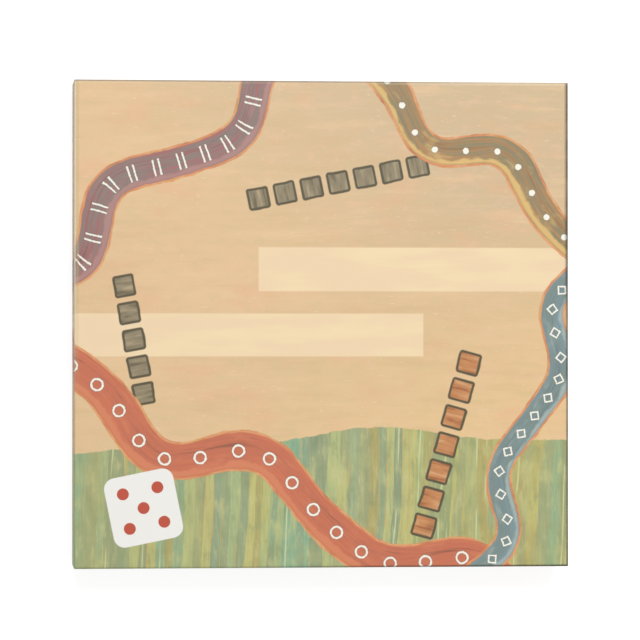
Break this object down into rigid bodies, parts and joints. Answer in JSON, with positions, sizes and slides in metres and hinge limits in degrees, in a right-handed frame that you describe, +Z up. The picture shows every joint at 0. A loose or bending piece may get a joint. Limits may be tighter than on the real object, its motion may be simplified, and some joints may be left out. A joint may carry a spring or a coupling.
{
  "type": "boxed snakes and ladders game",
  "caption": "Closed square games box: a paper-wrapped greyboard lid over a tray that holds a card insert, a flat playing board, a leaflet, wooden counters and a die.",
  "frame": {"origin": "middle of the tray's underside, on the table", "axes": "+Z up out of the cover, +Y towards the cover's upper edge, +X to the right of someone who reads the cover"},
  "size_m": [0.255, 0.25, 0.0375],
  "materials": {
    "cover_print": "satin",
    "tray_print": "satin",
    "base_print": "satin",
    "liner_paper": "matte",
    "stay_paper": "matte",
    "greyboard": "matte",
    "insert_card": "matte",
    "board_paper": "satin",
    "play_print": "satin",
    "leaflet_paper": "matte",
    "ochre_paint": "gloss",
    "plum_paint": "gloss",
    "red_paint": "gloss",
    "blue_paint": "gloss",
    "die_wood": "satin",
    "pip_paint": "matte"
  },
  "bodies": {
    "tray": {"tray_board": "greyboard", "tray_corner_stays": "stay_paper", "tray_wrap": "tray_print", "tray_base_sheet": "base_print", "tray_liner": "liner_paper"},
    "insert": {"insert_card": "insert_card"},
    "game_board": {"board_core": "greyboard", "board_wrap": "board_paper", "play_sheet": "play_print"},
    "leaflet": {"rules_leaflet": "leaflet_paper"},
    "lid": {"lid_board": "greyboard", "lid_corner_stays": "stay_paper", "lid_wrap": "cover_print", "lid_liner": "liner_paper"},
    "ochre_counter": {"counter_ochre": "ochre_paint"},
    "plum_counter": {"counter_plum": "plum_paint"},
    "red_counter": {"counter_red": "red_paint"},
    "blue_counter": {"counter_blue": "blue_paint"},
    "die": {"die_body": "die_wood", "die_pips": "pip_paint"}
  },
  "joints": [
    {"name": "insert_lift", "type": "slide", "parent": "tray", "child": "insert", "axis": [0, 0, 1], "range_m": [0, 0.06]},
    {"name": "board_lift", "type": "slide", "parent": "insert", "child": "game_board", "axis": [0, 0, 1], "range_m": [0, 0.12]},
    {"name": "leaflet_lift", "type": "slide", "parent": "game_board", "child": "leaflet", "axis": [0, 0, 1], "range_m": [0, 0.08]},
    {"name": "lid_lift", "type": "slide", "parent": "leaflet", "child": "lid", "axis": [0, 0, 1], "range_m": [0, 0.12]},
    {"name": "ochre_counter_lift", "type": "slide", "parent": "insert", "child": "ochre_counter", "axis": [0, 0, 1], "range_m": [0, 0.06]},
    {"name": "plum_counter_lift", "type": "slide", "parent": "insert", "child": "plum_counter", "axis": [0, 0, 1], "range_m": [0, 0.06]},
    {"name": "red_counter_lift", "type": "slide", "parent": "insert", "child": "red_counter", "axis": [0, 0, 1], "range_m": [0, 0.06]},
    {"name": "blue_counter_lift", "type": "slide", "parent": "insert", "child": "blue_counter", "axis": [0, 0, 1], "range_m": [0, 0.06]},
    {"name": "die_lift", "type": "slide", "parent": "insert", "child": "die", "axis": [0, 0, 1], "range_m": [0, 0.06]}
  ],
  "couplings": [
    {"joint": "ochre_counter_lift", "follows": "board_lift", "ratio": 0.5},
    {"joint": "plum_counter_lift", "follows": "board_lift", "ratio": 0.5},
    {"joint": "red_counter_lift", "follows": "board_lift", "ratio": 0.5},
    {"joint": "blue_counter_lift", "follows": "board_lift", "ratio": 0.5},
    {"joint": "die_lift", "follows": "board_lift", "ratio": 0.5}
  ]
}
